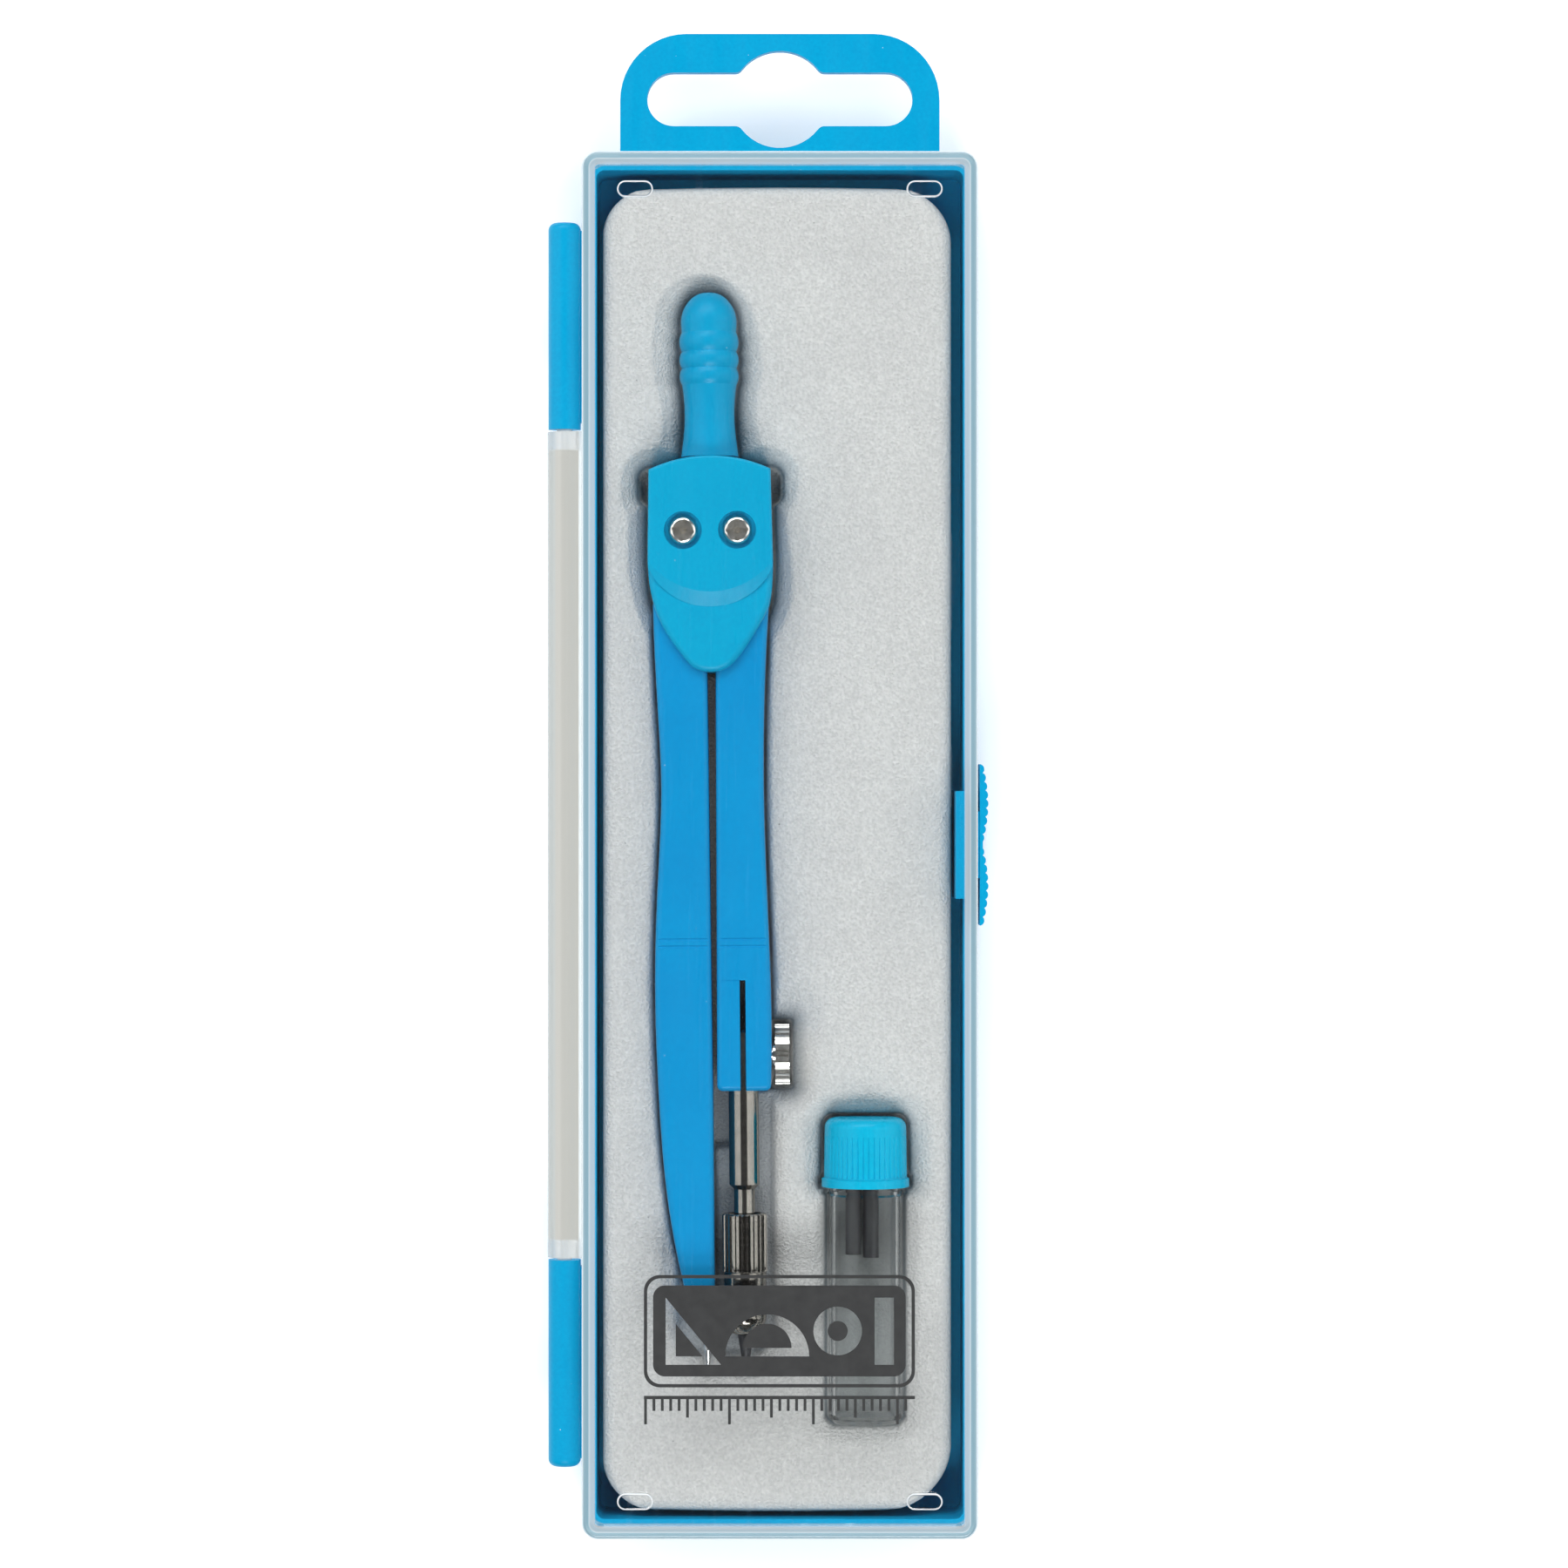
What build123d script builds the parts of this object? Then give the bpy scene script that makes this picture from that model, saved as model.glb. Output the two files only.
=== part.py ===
from build123d import *
import os
from math import asin, cos, degrees, pi, radians, sin

# A hanging pocket case with a clear hinged lid. It holds a school compass with two geared
# legs and a tube of spare leads, both bedded in a flocked liner.
# Millimetres. +Z points from the flat back to the lid, +Y to the hang tab, and the origin is
# the middle of the tray's back.

# ---- Case: driving sizes
body_length = 165.8
body_width = 47.5
body_corner = 2.1
tray_height = 11.0
tray_inset = 0.25          # the tray stands this far inside the lid's outline
tray_wall = 1.4
tray_floor = 1.2
tray_inner_corner = 1.0
tray_foot_round = 0.8
lid_height = 6.9
lid_wall = 1.15
lid_top = 1.2
lid_draft = 1.0            # degrees
lid_top_round = 0.5
rim_gap = 0.1

# ---- Hang tab with its display-hook slot
tab_width = 38.5
tab_reach = 15.1
tab_thickness = 1.6
tab_drop = 0.1             # below the tray's rim
tab_corner = 8.0
slot_length = 32.0
slot_height = 6.45
slot_eye = 11.7
slot_from_tray = 7.2
slot_blend = 1.0

# ---- Hinge
hinge_stand_off = 2.2      # axis outside the lid's wall
knuckle_radius = 1.95
knuckle_length = 24.9
knuckle_start = 50.0       # from the middle of the case
knuckle_end_round = 0.9
knuckle_gap = 0.3
knuckle_web = 2.0
lid_knuckle_radius = 2.05
lid_knuckle_wall = 0.9
lid_knuckle_end = 2.2
lid_knuckle_mouth = 1.7
hinge_pin_radius = 0.95
hinge_pin_length = 3.5
pin_clearance = 0.05

# ---- Latch
grip_length = 18.5
grip_height = 11.0
grip_foot = 3.4
grip_plate = 0.35
grip_gap = 0.25
grip_hump = 0.6
grip_hump_centre = 4.95
grip_rib_radius = 0.62
grip_rib_pitch = 1.03
grip_ribs = 9
catch_length = 8.0
catch_height = 0.8
catch_level = 2.0          # above the tray's rim
catch_clearance = 0.05
guide_length = 12.9
guide_width = 1.2
guide_rise = 3.2           # above the tray's rim
guide_clearance = 0.3
latch_notch_length = 14.0
latch_notch_height = 0.9
bracket_height = 1.2
bracket_gap = 0.25

# ---- Stacking lugs on the lid
lug_length = 4.3
lug_width = 2.0
lug_height = 0.4
lug_round = 0.26
lug_from_side = 6.5
lug_from_end = 4.7

# ---- Liner
liner_margin_side = 1.3
liner_margin_end = 1.8
liner_thickness = 9.0
liner_corner = 6.5
liner_lift = 0.1
pocket_gap = 0.7
pocket_slope = 38.0        # degrees from upright
pocket_slope_depth = 3.2
pocket_corner = 2.0

# ---- Compass: place and driving sizes
compass_x = -8.35
compass_y = 37.65
compass_level = 11.0
compass_turn = 0.5         # degrees
pivot_spacing = 6.48
pivot_post_radius = 1.5
running_clearance = 0.05
leg_depth = 6.8
leg_edge_round = 0.7
leg_gap_top = 1.0
leg_gap_foot = 0.5
score_depth = 0.12
score_floor = 0.14
score_draft = 48.0         # degrees
score_lines = (-49.0, -49.85)
gear_teeth = 12            # on a full turn
gear_addendum = 0.42
gear_dedendum = 0.62
gear_backlash = 0.16
hub_rim = 0.56              # hub beyond the pivot, past the gears' pitch line
hub_depth = 4.0
hub_gap = 0.15
head_margin = 4.26
head_top = 8.95
head_shoulder = 7.3
head_tip = 16.95
cover_plate = 1.0
cover_step = 0.6
cover_edge_round = 0.35
tongue_edge_round = 0.75
plateau_low = -9.15        # foot of the front cover's raised field
plateau_corner = -2.6       # level of the U's two ends, just outside the outline
plateau_overhang = 0.6
plateau_slope = 1.8
cover_gap = 0.15
screw_recess_radius = 2.26
screw_recess_depth = 1.05
screw_head_radius = 1.75
screw_head_height = 0.85
screw_cross = 2.7
screw_cross_arm = 0.6
screw_shank_radius = 0.88
screw_fit = 0.02
handle_tang_width = 5.0
handle_tang_depth = 3.2
handle_tang_length = 4.4
tang_clearance = 0.1
needle_radius = 0.55
needle_u = -1.15
needle_tip = 101.5
needle_root = 86.0
leg_foot = 67.2
needle_leg_foot = 96.3

# ---- Lead holder, its clamp and the lead
holder_u = 3.4
holder_rise = 1.0          # towards the lid from the legs' middle plane
sleeve_wall = 0.54          # beyond the neck
sleeve_top = 59.9
sleeve_end = 78.5
neck_wall = 0.28            # around the lead
neck_chamfer = 0.6
bore_clearance = 0.05
holder_travel = 5.5
clamp_slot = 0.7
clamp_slot_top = 53.9
clamp_screw_v = 63.1
clamp_screw_drop = 2.0     # away from the lid, behind the sleeve
clamp_thread_radius = 0.9
clamp_collar_radius = 1.45
clamp_head_radius = 3.7
clamp_head_thickness = 1.7
clamp_head_gap = 0.45
clamp_knurls = 32
clamp_knurl_depth = 0.17
nut_top = 82.0
nut_knurl_end = 88.9
nut_wall = 0.7              # around the collet
nut_knurls = 28
nut_shoulder = 94.5
nut_end = 96.5
collet_wall = 0.72          # around the neck
lead_radius = 1.0
lead_top = 68.0
lead_stroke = 4.0
lead_tip = 100.8
lead_tip_radius = 0.3

# ---- Tube of spare leads
tube_x = 10.32
tube_level = 10.4
tube_foot = -69.7
tube_mouth = -35.0
tube_radius = 4.39
tube_wall = 0.7
tube_base = 1.0
cap_top = -32.93
cap_end = -41.2
cap_wall = 0.56             # around the tube
cap_taper = 0.08            # narrower at the top
cap_roof = 0.9
cap_flange = 0.28           # beyond the ribs
cap_flange_height = 0.94
cap_ribs = 46
cap_rib_depth = 0.15
cap_rib_start = 2.1         # below the top
cap_top_round = 1.2
cap_clearance = 0.05
spare_lead_length = 14.0
spare_lead_top = -35.6
spare_lead_gap = 0.18
spare_lead_stagger = 0.4
spare_lead_turn = -9.0

# ---- Levels and places that follow from the sizes above
tray_width = body_width - 2 * tray_inset
tray_length = body_length - 2 * tray_inset
cavity_width = tray_width - 2 * tray_wall
cavity_length = tray_length - 2 * tray_wall
lid_rim = tray_height + rim_gap
case_top = lid_rim + lid_height
hinge_x = -body_width / 2 - hinge_stand_off
hinge_z = tray_height
pivot = pivot_spacing / 2
hub_radius = pivot + hub_rim
head_half_width = pivot + head_margin
neck_radius = lead_radius + neck_wall
sleeve_radius = neck_radius + sleeve_wall
collet_radius = neck_radius + collet_wall
nut_radius = collet_radius + nut_wall
cap_radius = tube_radius + cap_clearance + cap_wall
cap_flange_radius = cap_radius + cap_flange
cover_bottom = leg_depth / 2 + cover_gap
cover_top = cover_bottom + cover_plate + cover_step
screw_seat = cover_top - screw_recess_depth

# The compass lies in its own plane, turned a little in the case. Along it, u runs across and
# v runs from the middle of the two pivots towards the handle.
turn = radians(compass_turn)
compass = Plane(
    origin=(compass_x, compass_y, compass_level),
    x_dir=(cos(turn), sin(turn), 0),
    z_dir=(0, 0, 1),
)
holder_plane = Plane(
    origin=compass.from_local_coords(Vector(holder_u, 0, holder_rise)),
    x_dir=compass.x_dir,
    z_dir=compass.z_dir,
)
holder_axis = Axis(holder_plane.origin, holder_plane.y_dir)
clamp_plane = Plane(
    origin=compass.from_local_coords(Vector(0, -clamp_screw_v, -clamp_screw_drop)),
    x_dir=compass.x_dir,
    z_dir=compass.z_dir,
)
clamp_axis = Axis(clamp_plane.origin, clamp_plane.x_dir)
handle_axis = Axis(compass.origin, compass.y_dir)
tube_plane = Plane(origin=(tube_x, 0, tube_level), x_dir=(1, 0, 0), z_dir=(0, 0, 1))
tube_axis = Axis(tube_plane.origin, (0, 1, 0))

os.makedirs("parts", exist_ok=True)


# ---- Tray: one moulding with the hang tab, two hinge knuckles and the lid's guide block
with BuildPart() as case_tray:
    with BuildSketch():
        RectangleRounded(tray_width, tray_length, body_corner)
    extrude(amount=tray_height)
    fillet(case_tray.edges().group_by(Axis.Z)[0], tray_foot_round)
    with BuildSketch(Plane.XY.offset(tray_floor)):
        RectangleRounded(cavity_width, cavity_length, tray_inner_corner)
    extrude(amount=tray_height, mode=Mode.SUBTRACT)

    # Hang tab, level with the rim
    tab_root = tray_length / 2 - tray_wall / 2
    tab_length = tab_reach + tray_wall / 2
    with BuildSketch(Plane.XY.offset(tray_height - tab_drop - tab_thickness)):
        with Locations((0, tab_root + tab_length / 2)):
            Rectangle(tab_width, tab_length)
        fillet(vertices().group_by(Axis.Y)[-1], tab_corner)
    extrude(amount=tab_thickness)
    with BuildSketch(Plane.XY.offset(tray_height - tab_drop - tab_thickness)) as hook_slot:
        with Locations((0, tray_length / 2 + slot_from_tray)):
            SlotOverall(slot_length, slot_height)
            Circle(slot_eye / 2)
        eye_corners = hook_slot.vertices().filter_by(lambda v: abs(v.X) < slot_eye / 2)
        fillet(eye_corners, slot_blend)
    extrude(amount=tab_thickness, mode=Mode.SUBTRACT)

    # Hinge knuckles: round barrels with blind bores for the lid's pins, on short webs
    for side in (-1, 1):
        inner_end = side * knuckle_start
        outer_end = side * (knuckle_start + knuckle_length)
        with BuildSketch(Plane.XY.offset(hinge_z)) as barrel:
            with Locations((hinge_x + knuckle_radius / 2, (inner_end + outer_end) / 2)):
                Rectangle(knuckle_radius, knuckle_length)
            tips = barrel.vertices().sort_by(Axis.X)[-2:].sort_by(Axis.Y)
            fillet(tips[-1] if side > 0 else tips[0], knuckle_end_round)
        revolve(axis=Axis((hinge_x, 0, hinge_z), (0, 1, 0)))
        web_reach = -tray_width / 2 + tray_wall / 2 - hinge_x
        with BuildSketch(Plane.XZ.offset(-(inner_end + outer_end) / 2)):
            with Locations((hinge_x + web_reach / 2, hinge_z - tab_drop - knuckle_web / 2)):
                Rectangle(web_reach, knuckle_web)
        extrude(amount=knuckle_length / 2 - knuckle_end_round, both=True)
        with BuildSketch(Plane.XZ.offset(-inner_end)):
            with Locations((hinge_x, hinge_z)):
                Circle(hinge_pin_radius + pin_clearance)
        extrude(amount=-side * (hinge_pin_length + knuckle_gap), mode=Mode.SUBTRACT)

    # Guide block inside the right wall: the closed lid's wall slides down outside it
    lid_inner_face = body_width / 2 - lid_wall
    guide_face = lid_inner_face - guide_clearance
    with BuildSketch(Plane.XY.offset(tray_floor)):
        with Locations((guide_face - guide_width / 2, 0)):
            Rectangle(guide_width, guide_length)
    extrude(amount=tray_height + guide_rise - tray_floor)

    # Bracket that the latch tongue springs from
    grip_face = body_width / 2 + grip_gap
    with BuildSketch(Plane.XY.offset(grip_foot - bracket_gap - bracket_height)):
        bracket_reach = grip_face + grip_plate - tray_width / 2 + tray_wall / 2
        with Locations((tray_width / 2 - tray_wall / 2 + bracket_reach / 2, 0)):
            Rectangle(bracket_reach, guide_length)
    extrude(amount=bracket_height)
case_tray.part.label = "case_tray"
export_step(case_tray.part, "parts/case_tray.step")


# ---- Latch tongue: a springy plate outside the lid's wall, with two ribbed finger humps
with BuildPart() as latch:
    with BuildSketch(Plane.XY.offset(grip_foot)):
        with Locations((grip_face + grip_plate / 2, 0)):
            Rectangle(grip_plate, grip_length)
        for hump in (-grip_hump_centre, grip_hump_centre):
            for rib in range(grip_ribs):
                step = rib - (grip_ribs - 1) / 2
                swell = cos(pi * step / grip_ribs)
                rib_x = grip_face + grip_plate + grip_hump * swell - grip_rib_radius * 0.9
                with Locations((rib_x, hump + step * grip_rib_pitch)):
                    Circle(grip_rib_radius)
        with Locations((grip_face - body_width / 2, 0)):
            Rectangle(body_width, body_width, mode=Mode.SUBTRACT)
    extrude(amount=grip_height)
    catch_tip = body_width / 2 + catch_clearance
    catch_reach = grip_face + grip_plate / 2 - catch_tip
    with BuildSketch(Plane.XZ):
        with Locations((catch_tip + catch_reach / 2, tray_height + catch_level)):
            Rectangle(catch_reach, catch_height)
    extrude(amount=catch_length / 2, both=True)
latch.part.label = "latch"
export_step(latch.part, "parts/latch.step")


# ---- Lid: a clear drafted cover with a long hollow hinge knuckle and its two pins
with BuildPart() as lid:
    with BuildSketch(Plane.XY.offset(lid_rim)):
        RectangleRounded(body_width, body_length, body_corner)
    extrude(amount=lid_height, taper=lid_draft)
    fillet(lid.edges().group_by(Axis.Z)[-1], lid_top_round)
    with BuildSketch(Plane.XY.offset(lid_rim)):
        RectangleRounded(
            body_width - 2 * lid_wall, body_length - 2 * lid_wall, body_corner - lid_wall / 2
        )
    extrude(amount=lid_height - lid_top, taper=lid_draft, mode=Mode.SUBTRACT)

    # Relief in the rim over the latch, and the shallow groove its catch bead sits in
    with BuildSketch(Plane.XY.offset(lid_rim)):
        with Locations((body_width / 2 - lid_wall / 2, 0)):
            Rectangle(lid_wall * 1.5, latch_notch_length)
    extrude(amount=latch_notch_height, mode=Mode.SUBTRACT)
    with BuildSketch(Plane.XZ):
        with Locations((body_width / 2, tray_height + catch_level)):
            Rectangle(lid_wall * 0.4, catch_height + 2 * catch_clearance + knuckle_gap)
    extrude(amount=catch_length / 2 + knuckle_gap, both=True, mode=Mode.SUBTRACT)

    # Stacking lugs
    lug_x = body_width / 2 - lug_from_side
    lug_y = body_length / 2 - lug_from_end
    with BuildSketch(Plane.XY.offset(case_top - lid_top / 2)):
        with GridLocations(2 * lug_x, 2 * lug_y, 2, 2):
            SlotOverall(lug_length, lug_width)
    extrude(amount=lid_top / 2 + lug_height)
    fillet(lid.edges().group_by(Axis.Z)[-1], lug_round)

    # Knuckle: an open-bottomed channel with solid ends
    knuckle_half = knuckle_start - knuckle_gap
    with BuildSketch(Plane.XZ):
        with Locations((hinge_x, hinge_z)):
            Circle(lid_knuckle_radius)
        web_width = hinge_stand_off + lid_wall / 2
        web_height = lid_knuckle_radius - rim_gap - 0.05
        with Locations((hinge_x + web_width / 2, lid_rim + web_height / 2)):
            Rectangle(web_width, web_height)
    extrude(amount=knuckle_half, both=True)
    with BuildSketch(Plane.XZ):
        with Locations((hinge_x, hinge_z)):
            Circle(lid_knuckle_radius - lid_knuckle_wall)
        with Locations((hinge_x, hinge_z - lid_knuckle_radius / 2)):
            Rectangle(lid_knuckle_mouth, lid_knuckle_radius)
    extrude(amount=knuckle_half - lid_knuckle_end, both=True, mode=Mode.SUBTRACT)
    for side in (-1, 1):
        with BuildSketch(Plane.XZ.offset(-side * (knuckle_half - lid_knuckle_end / 2))):
            with Locations((hinge_x, hinge_z)):
                Circle(hinge_pin_radius)
        extrude(amount=-side * (lid_knuckle_end / 2 + knuckle_gap + hinge_pin_length - 0.3))
lid.part.label = "lid"
export_step(lid.part, "parts/lid.step")


# ---- Liner: a soft pad with sloping pockets for the compass and the tube
liner_width = cavity_width - 2 * liner_margin_side
liner_length = cavity_length - 2 * liner_margin_end
liner_bottom = tray_floor + liner_lift
liner_top = liner_bottom + liner_thickness
# Each pocket: middle across, middle along, width, length and floor level
head_floor = compass_level - cover_top - pocket_gap / 2
leg_floor = compass_level - leg_depth / 2 - pocket_gap / 2
clamp_floor = compass_level - clamp_screw_drop - clamp_head_radius - pocket_gap / 2
clamp_reach = holder_u * 2 + clamp_head_gap + clamp_head_thickness
with BuildPart() as liner:
    with BuildSketch(Plane.XY.offset(liner_bottom)):
        RectangleRounded(liner_width, liner_length, liner_corner)
    extrude(amount=liner_thickness)

    def pocket(plane, left, right, low, high, floor):
        """Sink one pocket: upright walls below, then walls that slope out to the top."""
        slope_start = max(floor, liner_top - pocket_slope_depth)
        middle = ((left + right) / 2, (low + high) / 2)
        if floor < slope_start:
            with BuildSketch(plane.offset(floor - plane.origin.Z)) as well:
                with Locations(middle):
                    RectangleRounded(right - left, high - low, pocket_corner)
            extrude(well.sketch, amount=slope_start - floor, mode=Mode.SUBTRACT)
        with BuildSketch(plane.offset(slope_start - plane.origin.Z)) as mouth:
            with Locations(middle):
                RectangleRounded(right - left, high - low, pocket_corner)
        wall_height = liner_top - slope_start
        extrude(mouth.sketch, amount=wall_height, taper=-pocket_slope, mode=Mode.SUBTRACT)

    side_gap = head_half_width + pocket_gap
    pocket(compass, -4.3, 4.3, head_top, 28.9 + pocket_gap, leg_floor)
    pocket(compass, -side_gap, side_gap, -head_tip, head_top + pocket_gap, head_floor)
    pocket(compass, -side_gap, side_gap, -needle_tip - 3, -head_tip + 4, leg_floor)
    pocket(
        compass,
        0,
        clamp_reach + pocket_gap,
        -clamp_screw_v - clamp_head_radius - pocket_gap,
        -clamp_screw_v + clamp_head_radius + pocket_gap,
        clamp_floor,
    )
    tube_half = cap_flange_radius + pocket_gap
    tube_floor = tube_level - cap_flange_radius - pocket_gap / 2
    pocket(tube_plane, -tube_half, tube_half, tube_foot - 1.3, cap_top + 4, tube_floor)
liner.part.label = "liner"
export_step(liner.part, "parts/liner.step")


# ---- Compass handle: a ringed grip with a flat tang held between the head covers
with BuildPart() as compass_handle:
    with BuildSketch(compass) as grip_profile:
        with BuildLine():
            Polyline((0, 28.85), (0, head_top + 0.1), (3.45, head_top + 0.1), (3.25, 10.6))
            Spline((3.25, 10.6), (3.0, 13.5), (3.27, 17.7))
            ThreePointArc((3.27, 17.7), (3.55, 18.8), (3.27, 19.7))
            ThreePointArc((3.27, 19.7), (3.57, 20.7), (3.27, 21.7))
            ThreePointArc((3.27, 21.7), (3.57, 22.85), (3.27, 24.0))
            Line((3.27, 24.0), (3.36, 25.1))
            Spline((3.36, 25.1), (2.5, 27.65), (0, 28.85), tangents=((0, 1), (-1, 0)))
        make_face()
    revolve(axis=handle_axis)
    tang_top = head_top + 1
    with BuildSketch(compass):
        with Locations((0, tang_top - (handle_tang_length + 1) / 2)):
            Rectangle(handle_tang_width, handle_tang_length + 1)
    extrude(amount=handle_tang_depth / 2, both=True)
compass_handle.part.label = "compass_handle"
export_step(compass_handle.part, "parts/compass_handle.step")


# ---- Head covers: the same outline in front and behind, clamped on the legs by two screws
def head_outline():
    """Arched top, gently bowed sides and a long rounded tongue, in the compass's plane."""
    with BuildLine() as outline:
        Spline(
            (0, -head_tip), (head_half_width * 0.42, -head_tip * 0.905),
            (head_half_width * 0.79, -head_tip * 0.66), (head_half_width, -head_tip * 0.2),
            tangents=((1, 0), (0.02, 1)),
        )
        Line((head_half_width, -head_tip * 0.2), (head_half_width - 0.2, head_shoulder))
        ThreePointArc(
            (head_half_width - 0.2, head_shoulder), (0, head_top), (0.2 - head_half_width, head_shoulder)
        )
        Line((0.2 - head_half_width, head_shoulder), (-head_half_width, -head_tip * 0.2))
        Spline(
            (-head_half_width, -head_tip * 0.2), (-head_half_width * 0.79, -head_tip * 0.66),
            (-head_half_width * 0.42, -head_tip * 0.905), (0, -head_tip),
            tangents=((0.02, -1), (1, 0)),
        )
    make_face(outline.edges())


def plateau_outline():
    """The part of the head's outline above a wide U: the front cover's raised field."""
    head_outline()
    end_u = head_half_width + plateau_overhang
    with BuildLine() as outline:
        ThreePointArc((end_u, plateau_corner), (0, plateau_low), (-end_u, plateau_corner))
        Polyline(
            (-end_u, plateau_corner),
            (-end_u, head_top + 1),
            (end_u, head_top + 1),
            (end_u, plateau_corner),
        )
    make_face(outline.edges(), mode=Mode.INTERSECT)


block_low = -7.4            # the inner block stops short of the swinging legs
block_height = cover_bottom - hub_depth / 2 - hub_gap
tang_seat_low = head_top - handle_tang_length - tang_clearance
post_radius = pivot_post_radius

with BuildPart() as head_front_cover:
    with BuildSketch(compass.offset(cover_bottom)):
        head_outline()
    extrude(amount=cover_plate)
    fillet(head_front_cover.edges().group_by(Axis.Z)[-1], tongue_edge_round)
    with BuildSketch(compass.offset(cover_bottom)):
        plateau_outline()
    extrude(amount=cover_plate + cover_step)
    fillet(head_front_cover.edges().group_by(Axis.Z)[-1], cover_edge_round)
    # The U slopes down to the tongue: a cone, deepest in the middle and fading to the corners
    slope_sag = plateau_corner - plateau_low - plateau_slope
    slope_half = head_half_width + plateau_overhang
    slope_radius = (slope_half**2 + slope_sag**2) / (2 * slope_sag)
    slope_centre = compass.from_local_coords(
        Vector(0, plateau_low + plateau_slope + slope_radius, cover_bottom + cover_plate)
    )
    with BuildSketch(Plane(slope_centre, x_dir=compass.x_dir, z_dir=-compass.y_dir)):
        Polygon(
            (slope_radius, cover_step),
            (slope_radius + plateau_slope * 0.97, cover_step * 0.03),
            (slope_radius + 10, cover_step * 0.03),
            (slope_radius + 10, cover_step + 1),
            (slope_radius, cover_step + 1),
            align=None,
        )
    revolve(axis=Axis(slope_centre, -compass.z_dir), revolution_arc=180, mode=Mode.SUBTRACT)
    # Inner block down to the hubs, and a solid bridge over the tang
    with BuildSketch(compass.offset(cover_bottom - block_height)):
        head_outline()
        with Locations((0, block_low - head_tip)):
            Rectangle(4 * head_half_width, 2 * head_tip, mode=Mode.SUBTRACT)
    extrude(amount=block_height + cover_plate / 2)
    with BuildSketch(compass.offset(running_clearance / 2)):
        head_outline()
        with Locations((0, tang_seat_low - head_tip)):
            Rectangle(4 * head_half_width, 2 * head_tip, mode=Mode.SUBTRACT)
    extrude(amount=cover_bottom)
    with BuildSketch(compass):
        with Locations((0, tang_seat_low + head_top)):
            Rectangle(handle_tang_width + 2 * tang_clearance, 2 * head_top)
    extrude(amount=handle_tang_depth / 2 + tang_clearance, mode=Mode.SUBTRACT)
    with BuildSketch(compass.offset(screw_seat)):
        with Locations((-pivot, 0), (pivot, 0)):
            Circle(screw_recess_radius)
    extrude(amount=screw_recess_depth, mode=Mode.SUBTRACT)
    with BuildSketch(compass):
        with Locations((-pivot, 0), (pivot, 0)):
            Circle(screw_shank_radius + running_clearance)
    extrude(amount=cover_top, mode=Mode.SUBTRACT)
head_front_cover.part.label = "head_front_cover"
export_step(head_front_cover.part, "parts/head_front_cover.step")

with BuildPart() as head_rear_cover:
    with BuildSketch(compass.offset(-cover_bottom - cover_plate)):
        head_outline()
    extrude(amount=cover_plate)
    fillet(head_rear_cover.edges().group_by(Axis.Z)[0], 0.35)
    with BuildSketch(compass.offset(-cover_bottom - cover_plate / 2)):
        head_outline()
        with Locations((0, block_low - head_tip)):
            Rectangle(4 * head_half_width, 2 * head_tip, mode=Mode.SUBTRACT)
    extrude(amount=cover_plate / 2 + block_height)
    with BuildSketch(compass.offset(-cover_bottom - running_clearance / 2)):
        head_outline()
        with Locations((0, tang_seat_low - head_tip)):
            Rectangle(4 * head_half_width, 2 * head_tip, mode=Mode.SUBTRACT)
    extrude(amount=cover_bottom)
    with BuildSketch(compass):
        with Locations((0, tang_seat_low + head_top)):
            Rectangle(handle_tang_width + 2 * tang_clearance, 2 * head_top)
    extrude(amount=-handle_tang_depth / 2 - tang_clearance, mode=Mode.SUBTRACT)
    # Pivot posts that the legs turn on, with pilot holes for the screws
    with BuildSketch(compass.offset(-cover_bottom)):
        with Locations((-pivot, 0), (pivot, 0)):
            Circle(post_radius)
    extrude(amount=cover_bottom + hub_depth / 2 + hub_gap - running_clearance)
    with BuildSketch(compass.offset(-cover_bottom)):
        with Locations((-pivot, 0), (pivot, 0)):
            Circle(screw_shank_radius + screw_fit)
    extrude(amount=2 * cover_bottom, mode=Mode.SUBTRACT)
head_rear_cover.part.label = "head_rear_cover"
export_step(head_rear_cover.part, "parts/head_rear_cover.step")


# ---- Pivot screws: small domed heads with a cross recess and a point in its middle
for side, cross_turn, name in ((-1, -10, "pivot_screw_left"), (1, 2, "pivot_screw_right")):
    with BuildPart() as pivot_screw:
        with BuildSketch(compass.offset(screw_seat + running_clearance)):
            with Locations((side * pivot, 0)):
                Circle(screw_head_radius)
        extrude(amount=screw_head_height)
        fillet(pivot_screw.edges().group_by(Axis.Z)[-1], screw_head_height * 0.75)
        with BuildSketch(compass.offset(screw_seat + running_clearance + 0.1)):
            with Locations((side * pivot, 0)):
                SlotOverall(screw_cross, screw_cross_arm, rotation=cross_turn)
                SlotOverall(screw_cross, screw_cross_arm, rotation=cross_turn + 90)
                Circle(screw_cross_arm * 1.15)
        extrude(amount=screw_head_height, mode=Mode.SUBTRACT)
        with BuildSketch(compass.offset(screw_seat + running_clearance)):
            with Locations((side * pivot, 0)):
                Circle(screw_cross_arm * 0.75)
        extrude(amount=0.4, taper=35)
        with BuildSketch(compass.offset(screw_seat + running_clearance)):
            with Locations((side * pivot, 0)):
                Circle(screw_shank_radius)
        extrude(amount=-screw_seat - cover_bottom + 0.5)
    pivot_screw.part.label = name
    export_step(pivot_screw.part, "parts/" + name + ".step")


# ---- Legs: each has a thin geared hub inside the head and a deep rounded blade below it
gear_pitch = 2 * pi * pivot / gear_teeth
gear_root = pivot - gear_dedendum
gear_tip = pivot + gear_addendum
half_tooth = gear_pitch / 4 - gear_backlash / 2
shank_top = -8.75
leg_plane_low = compass.offset(-leg_depth / 2)


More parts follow.
